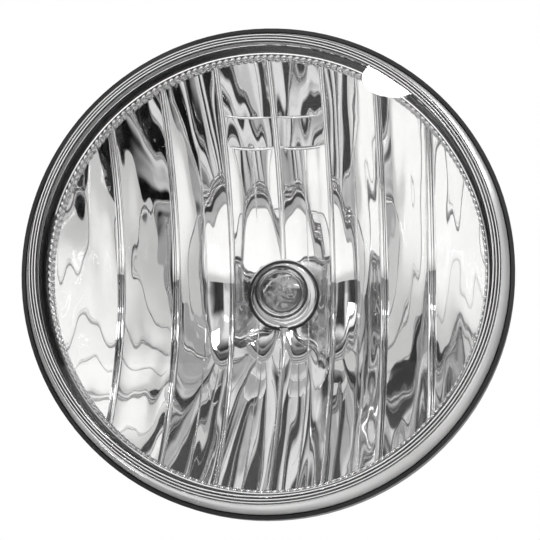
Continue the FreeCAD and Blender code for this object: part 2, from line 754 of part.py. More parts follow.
def shroud_edges(body):
    """The four long corners of the plug socket, where they run straight down."""
    found = []
    for edge in body.Edges:
        if len(edge.Vertexes) != 2 or edge.Curve.TypeId != "Part::GeomLine":
            continue
        a, b = edge.Vertexes[0].Point, edge.Vertexes[1].Point
        straight_down = abs(a.x - b.x) < 1e-6 and abs(a.y - b.y) < 1e-6
        at_corner = abs(abs(a.x) - SOCKET_HALF_WIDTH) < 1e-6 and min(a.z, b.z) < SOCKET_BOTTOM + 1e-6
        if straight_down and at_corner and abs(a.z - b.z) > 5:
            found.append(edge)
    return found


def terminal(side):
    """One flat blade in the plug socket."""
    middle = (69.0 + SOCKET_BACK - 2.0) / 2
    x = side * BLADE_SPACING / 2
    return block((x - 1.4, x + 1.4), (middle - 0.4, middle + 0.4), (BLADE_TIP, BLADE_ROOT))


def bulb_seal():
    """Silicone ring between the bulb's flange and the end of the neck."""
    groove = BULB_FLANGE_FRONT + 1.4
    middle = (NECK_END + groove) / 2
    bulge = 0.45
    inner, outer = SEAL_INNER + bulge, SEAL_OUTER - bulge
    return turned(
        (inner, NECK_END),
        (outer, NECK_END),
        ("arc", (SEAL_OUTER, middle), (outer, groove)),
        (inner, groove),
        ("arc", (SEAL_INNER, middle), (inner, NECK_END)),
    )


# ---- the whole lamp -----------------------------------------------------------------------
def main():
    os.makedirs("parts", exist_ok=True)
    sides = (1, -1)
    save("lens", lens())
    save("lens_sealant", lens_sealant())
    save("reflector", reflector())
    save("housing", housing())
    save("bracket", bracket())
    save("pivot_bushes", *[pivot_bush(s) for s in sides])
    save("pivot_screws", *[pivot_screw(s) for s in sides])
    save("boss_inserts", *[boss_insert(s) for s in sides])
    save("pivot_washers", *[pivot_washer(s) for s in sides])
    save("adjuster_screw", adjuster_screw())
    save("adjuster_retainer", adjuster_retainer())
    save("adjuster_bush", adjuster_bush())
    save("adjuster_nut", adjuster_nut())
    cap, membrane = vent_parts()
    save("vent_cap", cap)
    save("vent_membrane", membrane)
    save("reflector_screws", *[reflector_screw(a) for a in FIXING_ANGLES])
    save("bulb_glass", bulb_glass())
    save("bulb_filament", bulb_filament())
    save("bulb_posts", *bulb_posts())
    save("bulb_collar", bulb_collar())
    save("bulb_leads", *bulb_leads())
    save("bulb_base", bulb_base())
    save("bulb_terminals", *[terminal(s) for s in sides])
    save("bulb_seal", bulb_seal())


main()
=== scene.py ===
# %% [markdown]
# # A round fog lamp
# The lamp is a clear domed lens, a mirror bowl cut into upright strips, a small halogen bulb and a
# black housing that tilts in a bolt-on bracket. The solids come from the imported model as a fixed
# frame. This script adds the surfaces that light shows up: smooth glass, shaped mirror strips, a
# beaded ring, a real coil and thread, and a finish for every part.

# %% Load the frame
import json
import math
from contextlib import contextmanager

import bmesh
import bpy
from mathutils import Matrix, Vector


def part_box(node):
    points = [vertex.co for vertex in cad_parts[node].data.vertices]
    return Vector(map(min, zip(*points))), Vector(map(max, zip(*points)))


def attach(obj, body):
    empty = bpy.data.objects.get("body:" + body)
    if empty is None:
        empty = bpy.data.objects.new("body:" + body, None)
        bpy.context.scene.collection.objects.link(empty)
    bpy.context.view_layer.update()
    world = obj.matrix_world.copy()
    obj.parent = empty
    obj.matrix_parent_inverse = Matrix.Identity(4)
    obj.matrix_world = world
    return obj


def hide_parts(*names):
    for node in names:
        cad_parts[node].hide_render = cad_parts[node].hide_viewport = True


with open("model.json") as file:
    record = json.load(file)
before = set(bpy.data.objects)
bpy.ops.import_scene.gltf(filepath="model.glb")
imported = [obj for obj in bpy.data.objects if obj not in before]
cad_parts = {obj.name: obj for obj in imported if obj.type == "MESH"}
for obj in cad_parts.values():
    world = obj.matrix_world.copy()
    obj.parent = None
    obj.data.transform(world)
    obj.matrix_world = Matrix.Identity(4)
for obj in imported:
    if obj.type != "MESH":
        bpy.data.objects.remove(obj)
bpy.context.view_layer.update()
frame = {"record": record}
MM = 0.001

# %% [markdown]
# Every size in the lamp is easiest to read as a depth behind the flange plane, where the lens drops
# into the housing. The housing's inner lip starts 1.8 mm in front of that plane, so the frame gives
# the plane's place.

# %% Places taken from the frame
INNER_LIP_FRONT = 1.8 * MM
FLANGE_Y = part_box("housing")[0][1] + INNER_LIP_FRONT


def y_at(depth_mm):
    """The Y coordinate of a depth in millimetres behind the flange plane."""
    return FLANGE_Y + depth_mm * MM


# %% [markdown]
# Shader and geometry formulas read best as Python expressions. A small class wraps a socket, so
# that + - * / add Math nodes, and one maker adds any other node from its type, its settings and
# the values of its sockets.


# %% Writing nodes as formulas
class Socket:
    """One output of a node, with arithmetic."""

    def __init__(self, maker, link):
        self.maker, self.link = maker, link

    def math(self, operation, *values):
        return self.maker.math(operation, *values)

    def __add__(self, other):
        return self.math("ADD", self, other)

    def __radd__(self, other):
        return self.math("ADD", other, self)

    def __sub__(self, other):
        return self.math("SUBTRACT", self, other)

    def __rsub__(self, other):
        return self.math("SUBTRACT", other, self)

    def __mul__(self, other):
        return self.math("MULTIPLY", self, other)

    def __rmul__(self, other):
        return self.math("MULTIPLY", other, self)

    def __truediv__(self, other):
        return self.math("DIVIDE", self, other)

    def __rtruediv__(self, other):
        return self.math("DIVIDE", other, self)

    def sine(self):
        return self.math("SINE", self)

    def root(self):
        return self.math("SQRT", self)

    def at_least(self, other):
        return self.math("MAXIMUM", self, other)

    def at_most(self, other):
        return self.math("MINIMUM", self, other)

    def size(self):
        return self.math("ABSOLUTE", self)

    def band(self, low, high):
        """0 below low, 1 above high, and a smooth step between them."""
        return self.maker.add(
            "ShaderNodeMapRange",
            {"interpolation_type": "SMOOTHSTEP"},
            {"Value": self, "From Min": low, "From Max": high},
        )


class Maker:
    """Adds nodes to one node tree."""

    def __init__(self, tree):
        self.tree = tree

    def add(self, kind, settings=None, values=None, output=0):
        """Adds a node, and returns one of its outputs by name or number."""
        node = self.tree.nodes.new(kind)
        for name, value in (settings or {}).items():
            if name == "stops":
                ramp = node.color_ramp
                while len(ramp.elements) < len(value):
                    ramp.elements.new(1.0)
                for stop, (place, colour) in zip(ramp.elements, value):
                    stop.position, stop.color = place, colour
            else:
                setattr(node, name, value)
        for name, value in (values or {}).items():
            if isinstance(value, Socket):
                self.tree.links.new(value.link, node.inputs[name])
            else:
                node.inputs[name].default_value = value
        return Socket(self, node.outputs[output])

    def math(self, operation, *values):
        return self.add("ShaderNodeMath", {"operation": operation}, dict(enumerate(values)))

    def parts(self, vector):
        """The X, Y and Z of a vector, as three sockets."""
        node = self.tree.nodes.new("ShaderNodeSeparateXYZ")
        self.tree.links.new(vector.link, node.inputs[0])
        return [Socket(self, out) for out in node.outputs]

    def blend(self, amount, a, b):
        """A colour part of the way from a to b."""
        node = self.tree.nodes.new("ShaderNodeMix")
        node.data_type = "RGBA"
        sockets = {s.name: s for s in node.inputs if s.enabled}
        for name, value in (("Factor", amount), ("A", a), ("B", b)):
            if isinstance(value, Socket):
                self.tree.links.new(value.link, sockets[name])
            else:
                sockets[name].default_value = value
        return Socket(self, next(s for s in node.outputs if s.enabled))


def grey(value):
    return (value, value, value, 1.0)


print("node helpers ready")

# %% [markdown]
# A finish starts from one Principled shader. Sizes in it are in metres, on Object coordinates, and
# every object sits at the origin, so a pattern keeps its real size and never slides.


# %% A base for every finish
class Finish(Maker):
    """A material with a Principled shader, and its Object coordinates at hand."""

    def __init__(self, name, constants):
        self.material = bpy.data.materials.new(name)
        self.material.use_nodes = True
        super().__init__(self.material.node_tree)
        self.shader = next(n for n in self.tree.nodes if n.type == "BSDF_PRINCIPLED")
        for socket, value in constants.items():
            self.shader.inputs[socket].default_value = value
        self.place = self.add("ShaderNodeTexCoord", output="Object")

    def feed(self, socket, value):
        self.tree.links.new(value.link, self.shader.inputs[socket])

    def noise(self, cell_mm, detail=3.0, roughness=0.5, place=None):
        """Noise from 0 to 1 whose blots are about cell_mm across."""
        return self.add("ShaderNodeTexNoise", None, {
            "Vector": place or self.place, "Scale": 1.0 / (cell_mm * MM),
            "Detail": detail, "Roughness": roughness,
        }, "Fac")

    def from_axis(self):
        """Distance from the lamp's axis, in metres."""
        x, _, z = self.parts(self.place)
        return (x * x + z * z).root()

    def behind(self, first_mm, second_mm):
        """0 in front of one depth behind the flange plane, 1 behind another."""
        _, y, _ = self.parts(self.place)
        return y.band(y_at(first_mm), y_at(second_mm))

    def overlay(self, amount, colour, roughness):
        """Lays a second, opaque shader over the surface, by an amount from 0 to 1."""
        out = next(n for n in self.tree.nodes if n.type == "OUTPUT_MATERIAL")
        under = Socket(self, out.inputs["Surface"].links[0].from_socket)
        over = self.add("ShaderNodeBsdfPrincipled", None, {
            "Base Color": grey(colour), "Roughness": roughness,
        }, "BSDF")
        both = self.add("ShaderNodeMixShader", None, {0: amount, 1: under, 2: over}, "Shader")
        self.tree.links.new(both.link, out.inputs["Surface"])

    def bump(self, height, distance_mm, strength=1.0):
        self.feed("Normal", self.add("ShaderNodeBump", None, {
            "Height": height, "Distance": distance_mm * MM, "Strength": strength,
        }))


print("finish base ready")

# %% [markdown]
# **Finishes.** The bowl is moulded plastic with vacuum-metallised aluminium under lacquer: a true
# mirror, with the faint orange-peel of the moulding under it. The lens is clear hard-coated
# polycarbonate. The housing is black filled nylon with a spark-eroded grain, and the bracket is
# pressed steel with a black coat. Each one is a short function that returns its material.


# %% The mirror
# Bounds of the painted shade at the bowl's mouth: a dark ring, and a darkened wall behind it.
SHADE_RING_INSIDE, SHADE_RING_OUTSIDE = 51.5 * MM, 52.6 * MM
SHADE_RING_EDGE = 0.08 * MM
SHADED_WALL_START, SHADED_WALL_FULL = 51.1 * MM, 51.17 * MM
SHADED_WALL_DEPTH = (0.55, 0.75)


def mirror_finish(name, roughness, dark=0.90, light=0.95, painted_mouth_shade=False):
    """Metallised plastic: bright, with slow waves from the moulding.

    If asked, it also gets painted shade: a near-black ring round the bowl's mouth and a darkened wall
    behind it, where shade falls in that recess.
    """
    f = Finish(name, {"Metallic": 1.0, "IOR": 1.5})
    slow = f.noise(9.0, detail=1.0)
    fine = f.noise(0.5, detail=2.0)
    f.feed("Base Color", f.blend(f.noise(4.0), grey(dark), grey(light)))
    f.feed("Roughness", fine * 0.02 + roughness)
    f.bump(slow + fine * 0.004, 0.05, 0.35)
    if painted_mouth_shade:
        # Painted shade: a near-black ring in the mirror and a darkened wall behind it, where shade falls
        # at the bowl's mouth.
        radius = f.from_axis()
        ring = radius.band(SHADE_RING_INSIDE - SHADE_RING_EDGE, SHADE_RING_INSIDE)
        ring = ring * (1.0 - radius.band(SHADE_RING_OUTSIDE, SHADE_RING_OUTSIDE + SHADE_RING_EDGE))
        f.overlay(ring, colour=0.012, roughness=0.3)
        wall = radius.band(SHADED_WALL_START, SHADED_WALL_FULL) * f.behind(*SHADED_WALL_DEPTH)
        f.overlay(wall * 0.85, colour=0.05, roughness=0.3)
    return f.material


reflector_mirror = mirror_finish("reflector_mirror", 0.015)
# The bowl's mirror carries painted shade at its mouth.
bowl_mirror = mirror_finish("bowl_mirror", 0.015, painted_mouth_shade=True)
bead_mirror = mirror_finish("bead_mirror", 0.06, 0.80, 0.95)
print("made", reflector_mirror.name, bowl_mirror.name, bead_mirror.name)

# %% [markdown]
# A clear part isn't clear all over. The lens's side wall is satin where the mould gripped it, the
# crests of its fine steps carry a painted highlight and their grooves a painted shade. The bulb's
# quartz is grey at its pressed foot, and its crown carries a painted reflection, a pale swirl. Each
# of these is an opaque shader, laid over the clear one by a mask made from the distance to the axis
# and the depth.

# %% Lens and quartz
STEP_PITCH, FIRST_GROOVE, GROOVE_HALF = 0.7 * MM, 52.2 * MM, 0.10 * MM
CREST_START, CREST_FULL = 0.20 * MM, 0.28 * MM
STEPS_END, STEPS_GONE = 54.32 * MM, 54.4 * MM
SATIN_START, SATIN_FULL = 54.35 * MM, 54.5 * MM
FRONT_DEPTH = (-8.8, -8.6)      # the steps' front surface ends between these depths


def lens_finish(name):
    """Clear lens, satin on its side wall from the mould, with a painted highlight on its steps' crests
    and painted shade in their grooves.
    """
    f = Finish(name, {"Transmission Weight": 1.0, "IOR": 1.42, "Base Color": (1, 1, 1, 1)})
    f.feed("Roughness", f.noise(3.0) * 0.01)
    f.bump(f.noise(14.0, detail=1.0), 0.02, 0.2)
    radius = f.from_axis()
    wall = radius.band(SATIN_START, SATIN_FULL)
    cloudy = f.noise(30.0, detail=2.0).band(0.3, 0.7)
    f.overlay(wall * (cloudy * 0.3 + 0.45), colour=0.56, roughness=0.25)
    stepped = (1.0 - f.behind(*FRONT_DEPTH)) * radius.band(FIRST_GROOVE - GROOVE_HALF, FIRST_GROOVE)
    stepped = stepped * (1.0 - radius.band(STEPS_END, STEPS_GONE))
    off_groove = f.math("PINGPONG", radius - FIRST_GROOVE, STEP_PITCH / 2)
    # Painted highlight: a pale opaque band along the crest of each fine step.
    painted_crest_highlight = off_groove.band(CREST_START, CREST_FULL)
    f.overlay(stepped * painted_crest_highlight * 0.75, colour=0.80, roughness=0.2)
    # Painted shade: a near-black line in each groove between the fine steps.
    painted_groove_shade = 1.0 - off_groove.band(GROOVE_HALF * 0.5, GROOVE_HALF)
    f.overlay(stepped * painted_groove_shade * 0.9, colour=0.015, roughness=0.2)
    return f.material


CROWN_START, CROWN_END = 3.6 * MM, 4.9 * MM
CROWN_DEPTH, PINCH_DEPTH = (38.0, 38.3), (49.2, 49.9)
# Size and twist of the pale swirl painted on the crown as a reflection.
PAINTED_SWIRL_PER_METRE, PAINTED_SWIRL_TWIST = 240.0, 3.0


def quartz_finish(name):
    """Clear quartz whose pressed foot is grey and half opaque, and whose crown has a painted reflection:
    a pale swirl.
    """
    f = Finish(name, {"Transmission Weight": 1.0, "IOR": 1.46, "Base Color": (1, 1, 1, 1)})
    f.feed("Roughness", f.noise(3.0) * 0.01)
    f.bump(f.noise(5.0, detail=1.0), 0.02, 0.3)
    f.overlay(f.behind(*PINCH_DEPTH) * 0.75, colour=0.8, roughness=0.3)
    # Painted reflection: a pale swirled overlay on the bulb's crown, standing in for light reflected in
    # its end.
    swirl = f.add("ShaderNodeTexNoise", None, {
        "Vector": f.place, "Scale": PAINTED_SWIRL_PER_METRE, "Detail": 1.0, "Distortion": PAINTED_SWIRL_TWIST,
    }, "Fac")
    crown = (1.0 - f.from_axis().band(CROWN_START, CROWN_END)) * (1.0 - f.behind(*CROWN_DEPTH))
    f.overlay(crown * (swirl.band(0.42, 0.58) * 0.5 + 0.06), colour=0.9, roughness=0.15)
    return f.material


lens_clear = lens_finish("lens_clear")
quartz_clear = quartz_finish("quartz_clear")
print("made", lens_clear.name, quartz_clear.name)

# %% [markdown]
# The dark parts differ mostly in how rough they are, so moulded plastic and rubber are one function
# each, with their colours and grain as inputs. Natural nylon lets some light in, so it gets a
# little subsurface scattering.


# %% Plastic, rubber and nylon finishes
def grained_plastic(name, dark, light, grain_mm, roughness):
    """Black moulded plastic with a spark-eroded grain and slightly rubbed high spots."""
    f = Finish(name, {"IOR": 1.5, "Specular IOR Level": 0.45})
    grain = f.noise(grain_mm, detail=4.0, roughness=0.6)
    patches = f.noise(22.0, detail=3.0)
    f.feed("Base Color", f.blend(patches.band(0.35, 0.75), dark, light))
    f.feed("Roughness", grain * 0.16 + patches * 0.12 + (roughness - 0.14))
    f.bump(grain, 0.06, 0.7)
    return f.material


def soft_rubber(name, dark, light, roughness):
    """Moulded rubber with a bloom of paler dust."""
    f = Finish(name, {"IOR": 1.5, "Specular IOR Level": 0.3})
    bloom = f.noise(3.5, detail=5.0, roughness=0.65)
    f.feed("Base Color", f.blend(bloom.band(0.4, 0.8), dark, light))
    f.feed("Roughness", bloom * 0.15 + roughness)
    f.bump(f.noise(0.35, detail=3.0), 0.03, 0.5)
    return f.material


def milky_nylon(name):
    """Natural nylon: milky, slightly yellow, with faint flow lines."""
    f = Finish(name, {"IOR": 1.53, "Subsurface Weight": 0.15, "Subsurface Scale": 0.002})
    x, _, z = f.parts(f.place)
    flow = (f.noise(2.5) * 5.0 + (x + z) * 2400.0).sine() * 0.5 + 0.5
    f.feed("Base Color", f.blend(flow, (0.74, 0.71, 0.62, 1), (0.83, 0.81, 0.74, 1)))
    f.feed("Roughness", flow * 0.08 + 0.34)
    f.bump(flow, 0.015, 0.4)
    return f.material


housing_black = grained_plastic(
    "housing_black", (0.010, 0.010, 0.011, 1), (0.022, 0.022, 0.024, 1), 0.28, 0.5
)
bulb_black = grained_plastic("bulb_black", grey(0.014), (0.026, 0.026, 0.027, 1), 0.16, 0.4)
vent_rubber = soft_rubber("vent_rubber", grey(0.012), (0.05, 0.05, 0.048, 1), 0.6)
seal_silicone = soft_rubber("seal_silicone", (0.33, 0.075, 0.03, 1), (0.42, 0.11, 0.05, 1), 0.4)
sealant_black = soft_rubber("sealant_black", grey(0.006), grey(0.02), 0.45)
nylon_milky = milky_nylon("nylon_milky")
print("made", housing_black.name, bulb_black.name, vent_rubber.name, seal_silicone.name)

# %% [markdown]
# Bare metal shows how it was made: plating is cloudy, drawn wire has streaks along it and a spun
# collar has turning marks. Its colour hardly changes, so the marks go into roughness and bump.


# %% Metal finishes
def worn_metal(name, low, high, roughness, streak_mm=0.0):
    """Plated, drawn or plain metal, with cloudy patches and, if asked, drawn streaks along Y."""
    f = Finish(name, {"Metallic": 1.0})
    clouds = f.noise(2.2, detail=4.0, roughness=0.6)
    f.feed("Base Color", f.blend(clouds.band(0.3, 0.75), low, high))
    rough = clouds * 0.12 + roughness
    if streak_mm:
        stretched = f.add("ShaderNodeMapping", None, {"Vector": f.place, "Scale": (1.0, 0.06, 1.0)})
        streaks = f.noise(streak_mm, detail=2.0, place=stretched)
        rough = rough + streaks * 0.1
        f.bump(streaks, 0.01, 0.5)
    else:
        f.bump(f.noise(0.25, detail=3.0), 0.012, 0.5)
    f.feed("Roughness", rough)
    return f.material


def coated_steel(name):
    """Black dip coat on pressed steel: satin, with an orange-peel skin and thin spots."""
    f = Finish(name, {"Coat Weight": 0.35, "Coat Roughness": 0.25, "IOR": 1.5})
    peel = f.noise(0.9, detail=2.0)
    wear = f.noise(12.0, detail=6.0, roughness=0.7).band(0.62, 0.78)
    f.feed("Base Color", f.blend(wear, (0.012, 0.012, 0.013, 1), (0.045, 0.044, 0.043, 1)))
    f.feed("Roughness", peel * 0.12 + wear * 0.15 + 0.32)
    f.bump(peel, 0.03, 0.5)
    return f.material


TURNING_MARK = 0.9 * MM


def spun_steel(name):
    """Bright drawn steel with fine turning marks round the lamp's axis."""
    f = Finish(name, {"Metallic": 1.0})
    radius = f.from_axis()
    wander = f.noise(3.0, detail=2.0) * 0.5
    marks = (radius / TURNING_MARK + wander * 4.0).sine() * 0.5 + 0.5
    f.feed("Base Color", f.blend(marks, grey(0.80), grey(0.93)))
    f.feed("Roughness", marks * 0.03 + 0.03)
    f.bump(marks + wander, 0.03, 0.6)
    return f.material


bracket_coat = coated_steel("bracket_coat")
zinc_plate = worn_metal("zinc_plate", (0.50, 0.51, 0.53, 1), (0.68, 0.69, 0.70, 1), 0.24)
washer_steel = worn_metal("washer_steel", (0.36, 0.36, 0.37, 1), (0.5, 0.5, 0.51, 1), 0.32)
spring_steel = worn_metal("spring_steel", (0.09, 0.09, 0.10, 1), (0.16, 0.16, 0.17, 1), 0.3)
insert_brass = worn_metal("insert_brass", (0.62, 0.42, 0.16, 1), (0.78, 0.57, 0.26, 1), 0.25, 0.1)
collar_steel = spun_steel("collar_steel")
coil_tungsten = worn_metal("coil_tungsten", (0.24, 0.24, 0.26, 1), (0.4, 0.4, 0.42, 1), 0.3)
post_wire = worn_metal("post_wire", (0.5, 0.5, 0.52, 1), (0.66, 0.66, 0.68, 1), 0.2, 0.1)
blade_tin = worn_metal("blade_tin", (0.6, 0.59, 0.55, 1), (0.74, 0.73, 0.7, 1), 0.25, 0.12)


def felt_membrane(name):
    """White pressed film that lets air through and keeps water out."""
    f = Finish(name, {"IOR": 1.4})
    fibres = f.noise(0.12, detail=4.0, roughness=0.7)
    f.feed("Base Color", f.blend(fibres, (0.7, 0.7, 0.68, 1), (0.88, 0.88, 0.87, 1)))
    f.feed("Roughness", fibres * 0.1 + 0.75)
    f.bump(fibres, 0.05, 0.8)
    return f.material


membrane_white = felt_membrane("membrane_white")
print("made", bracket_coat.name, zinc_plate.name, insert_brass.name, membrane_white.name)

# %% [markdown]
# Most of the CAD's own shapes stay. Their meshes are loose triangles, which would glitter under
# gloss, so each one that shows is copied, its corners are merged, and its shading is smoothed
# wherever two faces meet at less than 30 degrees. The copy then stands for the node.

# %% Smooth copies of the CAD's parts
SHARP = math.radians(30)
MERGE_DISTANCE = 1e-6
BODIES = frame["record"]["behaviour"]["bodies"]
BODY_OF = {node: body for body, nodes in BODIES.items() for node in nodes}


@contextmanager
def editing(mesh):
    """Opens a mesh for editing, and writes it back at the end."""
    form = bmesh.new()
    form.from_mesh(mesh)
    yield form
    form.to_mesh(mesh)
    form.free()


def merge(form):
    """Makes one corner of those that coincide."""
    bmesh.ops.remove_doubles(form, verts=form.verts, dist=MERGE_DISTANCE)


def face_out(form):
    """Turns the faces of a closed form outwards."""
    bmesh.ops.recalc_face_normals(form, faces=form.faces)


def keep(mesh, name, material, node, replaces=True):
    """Puts a finished mesh in the scene, riding with the node whose place it takes or joins."""
    piece = bpy.data.objects.new(name, mesh)
    bpy.context.scene.collection.objects.link(piece)
    mesh.materials.clear()
    mesh.materials.append(material)
    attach(piece, BODY_OF[node])
    if replaces:
        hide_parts(node)
    return piece


def soften(mesh, angle=SHARP):
    """Smooth shading, with an edge kept sharp where its faces meet at more than an angle."""
    with editing(mesh) as form:
        for face in form.faces:
            face.smooth = True
        for edge in form.edges:
            sharp = len(edge.link_faces) != 2 or edge.calc_face_angle(math.pi) > angle
            edge.smooth = not sharp


def smooth_copy(node, material):
    """A merged, smoothly shaded copy of a CAD node, which takes the node's place."""
    mesh = bpy.data.objects[node].data.copy()
    with editing(mesh) as form:
        merge(form)
    soften(mesh)
    return keep(mesh, node + "_surface", material, node)


finishes = {
    "housing": housing_black,
    "bracket": bracket_coat,
    "reflector": bowl_mirror,
    "lens_sealant": sealant_black,
    "pivot_bushes": nylon_milky,
    "adjuster_bush": nylon_milky,
    "adjuster_nut": nylon_milky,
    "pivot_screws": zinc_plate,
    "adjuster_screw": zinc_plate,
    "reflector_screws": zinc_plate,
    "pivot_washers": washer_steel,
    "adjuster_retainer": spring_steel,
    "boss_inserts": insert_brass,
    "vent_cap": vent_rubber,
    "vent_membrane": membrane_white,
    "bulb_collar": collar_steel,
    "bulb_base": bulb_black,
    "bulb_posts": post_wire,
    "bulb_leads": post_wire,
    "bulb_terminals": blade_tin,
    "bulb_seal": seal_silicone,
}
surfaces = {node: smooth_copy(node, material) for node, material in finishes.items()}
print("smoothed", len(surfaces), "parts")

# %% [markdown]
# **Turned shapes.** The lens and the bulb's glass refract, so they need finer rings than the CAD's
# mesh has. A profile of radius and depth is turned about the lamp's axis with closed poles.


# %% Turning a profile
def turn(profile, segments):
    """A mesh turned about the lamp axis from (radius, depth) points in millimetres."""
    mesh = bpy.data.meshes.new("turned")
    angles = [2 * math.pi * k / segments for k in range(segments)]
    with editing(mesh) as form:
        rings = []
        for radius, depth in profile:
            if radius == 0.0:
                rings.append([form.verts.new((0, y_at(depth), 0))])
                continue
            reach = radius * MM
            rings.append([
                form.verts.new((reach * math.cos(a), y_at(depth), reach * math.sin(a))) for a in angles
            ])
        for first, second in zip(rings, rings[1:]):
            for k in range(segments):
                a, b = first[k % len(first)], first[(k + 1) % len(first)]
                c, d = second[(k + 1) % len(second)], second[k % len(second)]
                form.faces.new(list(dict.fromkeys((a, b, c, d))))
        face_out(form)
    soften(mesh)
    return mesh


def arc(centre, radius, start, end, steps):
    """Profile points on an arc; 0 degrees points outwards and 90 degrees backwards."""
    angles = [math.radians(start + (end - start) * k / steps) for k in range(steps + 1)]
    return [(centre[0] + radius * math.cos(a), centre[1] + radius * math.sin(a)) for a in angles]


# %% [markdown]
# **The lens.** It is one clear moulding: a shallow dome, three fine steps round its edge, a wall
# and a leg that stands in the housing's channel. The dome is a slice of a sphere, worked out from
# how far it rises over its own edge.

# %% Lens
DOME_EDGE, DOME_RISE, LENS_APEX, LENS_WALL = 52.2, 4.0, -14.0, 3.0
DOME_RADIUS = (DOME_EDGE ** 2 + DOME_RISE ** 2) / (2 * DOME_RISE)
DOME_RINGS, STEP_RINGS, WALL_RINGS, LENS_SEGMENTS = 24, 8, 6, 256
STEPS, STEP, STEP_DROP, STEP_BULGE = 3, 0.7, 0.35, 0.28
LEG_OUTER, LEG_INNER, LEG_END, WALL_FOOT, INNER_FOOT = 56.3, 54.7, 4.0, -0.6, -2.2
INNER_EDGE = DOME_EDGE + 0.2


def dome(edge, apex):
    """Profile points of a sphere's slice, from its apex to an edge."""
    radii = [edge * k / DOME_RINGS for k in range(DOME_RINGS + 1)]
    return [(r, apex + DOME_RADIUS - math.sqrt(DOME_RADIUS ** 2 - r ** 2)) for r in radii]


outer = dome(DOME_EDGE, LENS_APEX)
radius, depth = outer[-1]
for _ in range(STEPS):
    outer += [
        (radius + STEP / 2 - STEP / 2 * math.cos(a), depth - STEP_BULGE * math.sin(a))
        for a in (math.pi * k / STEP_RINGS for k in range(1, STEP_RINGS))
    ]
    radius, depth = radius + STEP, depth + STEP_DROP
    outer.append((radius, depth))
outer += [
    (radius + (LEG_OUTER - radius) * k / WALL_RINGS, depth + (WALL_FOOT - depth) * k / WALL_RINGS)
    for k in range(1, WALL_RINGS + 1)
]
leg = [(LEG_OUTER, LEG_END), (LEG_INNER, LEG_END), (LEG_INNER, INNER_FOOT)]
inner = dome(INNER_EDGE, LENS_APEX + LENS_WALL)[::-1]
lens = keep(turn(outer + leg + inner, LENS_SEGMENTS), "lens_dome", lens_clear, "lens")
print("lens faces", len(lens.data.polygons))

# %% [markdown]
# **Geometry Nodes.** What repeats, or follows a formula, is made by a node tree built here. The
# tree has named inputs, is run once for each set of sizes, and its result is kept as a plain mesh.


# %% Building and running a node tree
class Shape(Maker):
    """A Geometry Nodes tree with named number inputs."""

    def __init__(self, name, inputs):
        super().__init__(bpy.data.node_groups.new(name, "GeometryNodeTree"))
        self.tree.interface.new_socket("Geometry", in_out="OUTPUT", socket_type="NodeSocketGeometry")
        self.names = {}
        for label in inputs:
            item = self.tree.interface.new_socket(label, in_out="INPUT", socket_type="NodeSocketFloat")
            self.names[label] = item.identifier
        group = self.tree.nodes.new("NodeGroupInput")
        self.given = {label: Socket(self, group.outputs[label]) for label in inputs}

    def finish(self, geometry, material):
        """Ends the tree in Realize Instances and Set Material."""
        real = self.add("GeometryNodeRealizeInstances", None, {"Geometry": geometry})
        done = self.add("GeometryNodeSetMaterial", None, {"Geometry": real, "Material": material})
        out = self.tree.nodes.new("NodeGroupOutput")
        self.tree.links.new(done.link, out.inputs[0])
        return self

    def placed(self, geometry, x, y, z):
        """Moves every point of a geometry to its own place, in metres."""
        place = self.add("ShaderNodeCombineXYZ", None, {"X": x, "Y": y, "Z": z})
        return self.add("GeometryNodeSetPosition", None, {"Geometry": geometry, "Position": place})

    def swept(self, curve, radius, sides):
        """A round wire of a radius in metres along a curve, with closed ends."""
        ring = self.add(
            "GeometryNodeCurvePrimitiveCircle", None, {"Resolution": sides, "Radius": radius}, "Curve"
        )
        return self.add("GeometryNodeCurveToMesh", None, {
            "Curve": curve, "Profile Curve": ring, "Fill Caps": True,
        })

    def run(self, **sizes):
        """Runs the tree with named sizes, where _ stands for a space, and returns a plain mesh."""
        holder = bpy.data.objects.new("holder", bpy.data.meshes.new("holder"))
        bpy.context.scene.collection.objects.link(holder)
        modifier = holder.modifiers.new("shape", "NODES")
        modifier.node_group = self.tree
        for label, value in sizes.items():
            modifier[self.names[label.replace("_", " ")]] = float(value)
        ready = holder.evaluated_get(bpy.context.evaluated_depsgraph_get())
        mesh = bpy.data.meshes.new_from_object(ready)
        holder.modifiers.remove(modifier)
        bpy.data.objects.remove(holder)
        return mesh


def joined(meshes, merged=False):
    """Several meshes as one."""
    whole = bpy.data.meshes.new("joined")
    with editing(whole) as form:
        for mesh in meshes:
            form.from_mesh(mesh)
        if merged:
            merge(form)
    return whole


# %% [markdown]
# **The mirror strips.** The bowl is cut into upright strips, and each one has its own cross-curve,
# so that together they spread the beam sideways. One tree makes one strip: a grid is stretched
# between two X places and two heights, cut off at the bowl's mouth and at the bulb's hole, and
# pushed to the depth of a bowl that is straight across the strip apart from its own bow. It is
# run for every strip between two edges in a list, and each strip is given some thickness.

# %% The strip tree
BOWL_FOCAL, BOWL_VERTEX, MOUTH, HOLE = 16.1, 48.2, 51.1, 9.0
SKIN = 1.0           # how far the strips stand in front of the bowl's own wall
PAST_MOUTH = 60.0    # a top beyond the bowl's mouth, which the tree cuts back to it
SWIRL_SCALE, SWIRL_DETAIL, SWIRL_ACROSS, SWIRL_ALONG, SEED_STEP = 0.085, 0.6, 2.2, 0.45, 17.3


